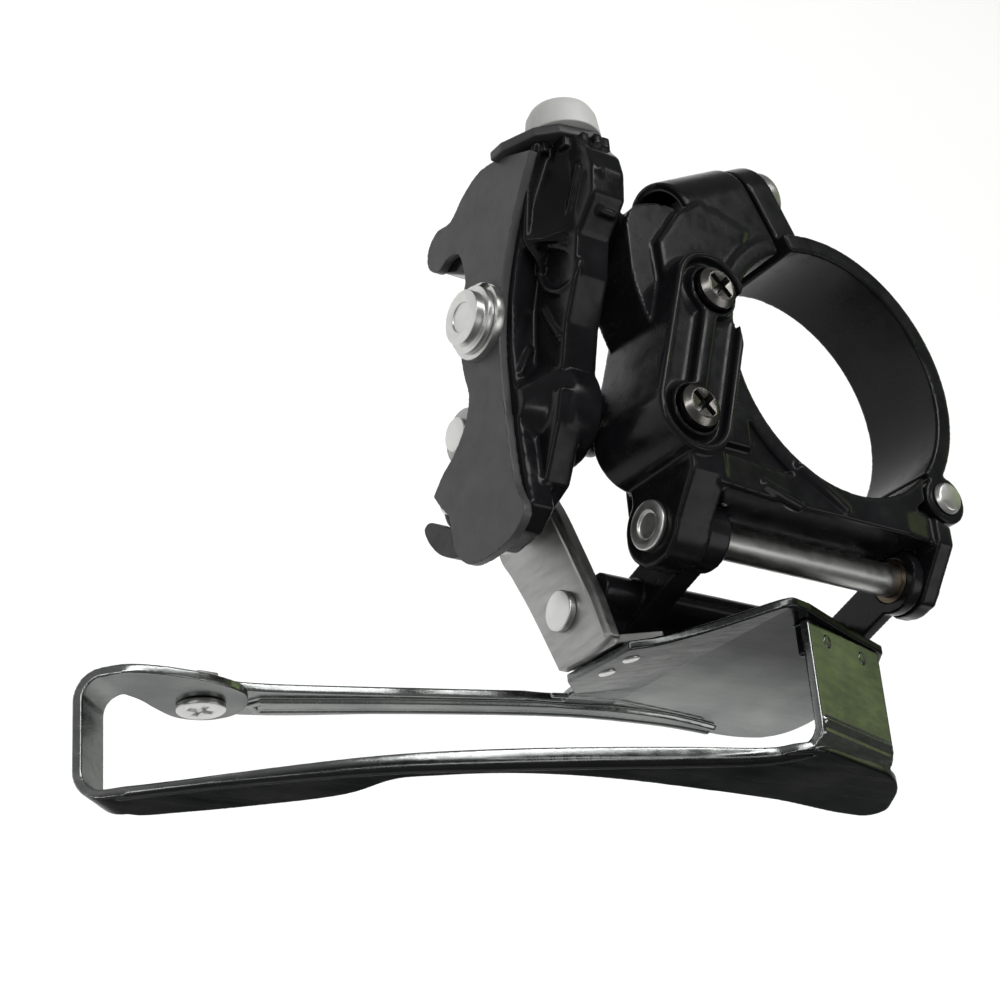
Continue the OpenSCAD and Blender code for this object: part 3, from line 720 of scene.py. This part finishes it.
# ---- machined pieces, and the CAD nodes that show as they are ----
for name in (
    "clamp_hinge_pin", "clamp_bolt", "clamp_nut", "low_limit_screw", "high_limit_screw",
    "inner_link_pin", "inner_link_clip", "arm_end_cap", "cable_anchor_bolt", "cable_anchor_washer",
    "guide_rivet", "guide_washer", "cage_pivot_pin", "cage_pivot_clip", "arm_cage_pin",
    "bracket_rivets", "bridge_rivets", "tail_nut",
):
    bevelled(name)


def flatten_head(p):
    """Halve the height of the tail screw's head, which stands on the tail."""
    seat = -35.45
    return Vector((p.x, p.y if p.y > seat else seat + 0.5 * (p.y - seat), p.z))


bevelled("tail_screw", shape=flatten_head)

for name, obj in frame["nodes"].items():
    obj.data.materials.clear()
    obj.data.materials.append(MATERIALS[SLOTS[name]])


# ---- stage, light and camera ----
# Place in metres, angles in degrees, lens in mm for a 36 mm sensor
CAMERA_AT = Vector((-172.06, -124.35, 163.77)) * MM
CAMERA_AZIMUTH = 216.62
CAMERA_ELEVATION = 47.05
CAMERA_ROLL = 56.43
CAMERA_LENS = 73.03
CAMERA_SHIFT = (-0.014, 0.0608)
FLOOR_Z = -0.4


def look(azimuth, elevation, roll):
    """Rotation of a camera that looks at the part from an azimuth and elevation, turned by roll."""
    a, e, r = (math.radians(v) for v in (azimuth, elevation, roll))
    back = Vector((math.cos(e) * math.cos(a), math.cos(e) * math.sin(a), math.sin(e)))
    level = Vector((0, 0, 1)).cross(back).normalized()
    right = math.cos(r) * level + math.sin(r) * back.cross(level)
    up = back.cross(right)
    return Matrix((right, up, back)).transposed()


def add_camera():
    """Camera that takes the picture's view of the part."""
    data = bpy.data.cameras.new("camera")
    data.lens = CAMERA_LENS
    data.sensor_width = 36
    data.shift_x, data.shift_y = CAMERA_SHIFT
    data.clip_start = 0.01
    cam = bpy.data.objects.new("camera", data)
    turn = look(CAMERA_AZIMUTH, CAMERA_ELEVATION, CAMERA_ROLL).to_4x4()
    cam.matrix_world = Matrix.Translation(CAMERA_AT) @ turn
    bpy.context.scene.collection.objects.link(cam)
    bpy.context.scene.camera = cam


def add_softbox(name, direction, distance, size, power):
    """A rectangular lamp that faces the origin from a direction, at a distance in metres."""
    data = bpy.data.lights.new(name, "AREA")
    data.shape = "RECTANGLE"
    data.size, data.size_y = size
    data.energy = power
    lamp = bpy.data.objects.new(name, data)
    back = Vector(direction).normalized()
    lamp.location = back * distance
    lamp.rotation_euler = back.to_track_quat("Z", "Y").to_euler()
    bpy.context.scene.collection.objects.link(lamp)
    return lamp


def add_floor():
    """Plain pale floor below the part."""
    bm = bmesh.new()
    bmesh.ops.create_grid(bm, x_segments=1, y_segments=1, size=6)
    floor = as_object(bm, "floor")
    floor.location.z = FLOOR_Z
    mat, shader = new_material("floor", (0.9, 0.9, 0.9), 0.0, 0.6)
    tone = ramp(mat, noise(mat, object_point(mat), 3), 0.3, 0.7, 0.88, 0.91)
    link(mat, tone, shader.inputs["Base Color"])
    floor.data.materials.append(mat)


def add_world():
    """Dim studio walls, a little lighter behind the camera."""
    world = bpy.data.worlds.new("studio")
    world.use_nodes = True
    tree = world.node_tree
    coords = tree.nodes.new("ShaderNodeTexCoord")
    split = tree.nodes.new("ShaderNodeSeparateXYZ")
    tree.links.new(coords.outputs["Generated"], split.inputs["Vector"])
    shift = tree.nodes.new("ShaderNodeMapRange")
    shift.inputs["From Min"].default_value = -0.6
    shift.inputs["From Max"].default_value = 0.7
    tree.links.new(split.outputs["X"], shift.inputs["Value"])
    tone = tree.nodes.new("ShaderNodeValToRGB")
    tone.color_ramp.elements[0].color = (0.3, 0.3, 0.3, 1)
    tone.color_ramp.elements[1].color = (0.1, 0.105, 0.095, 1)
    tree.links.new(shift.outputs["Result"], tone.inputs["Fac"])
    back = tree.nodes["Background"]
    tree.links.new(tone.outputs["Color"], back.inputs["Color"])
    bpy.context.scene.world = world


add_camera()
add_floor()
add_world()
add_softbox("strip", (-0.15, 0.41, 0.9), 1.2, (2.2, 0.22), 12)
add_softbox("front", (0.55, -0.42, 0.73), 1.2, (0.7, 0.7), 2.8)
add_softbox("left", (-0.9, -0.15, 0.4), 1.2, (0.15, 0.5), 1.5)
olive = add_softbox("olive_panel", (0.86, 0.41, 0.28), 1.2, (0.45, 0.45), 0.45)
olive.data.color = (0.62, 0.8, 0.3)
overhead = add_softbox("overhead", (0.0, 0.0, 1.0), 2.4, (2.4, 2.4), 54)
overhead.visible_glossy = False
bpy.context.scene.view_settings.view_transform = "Standard"
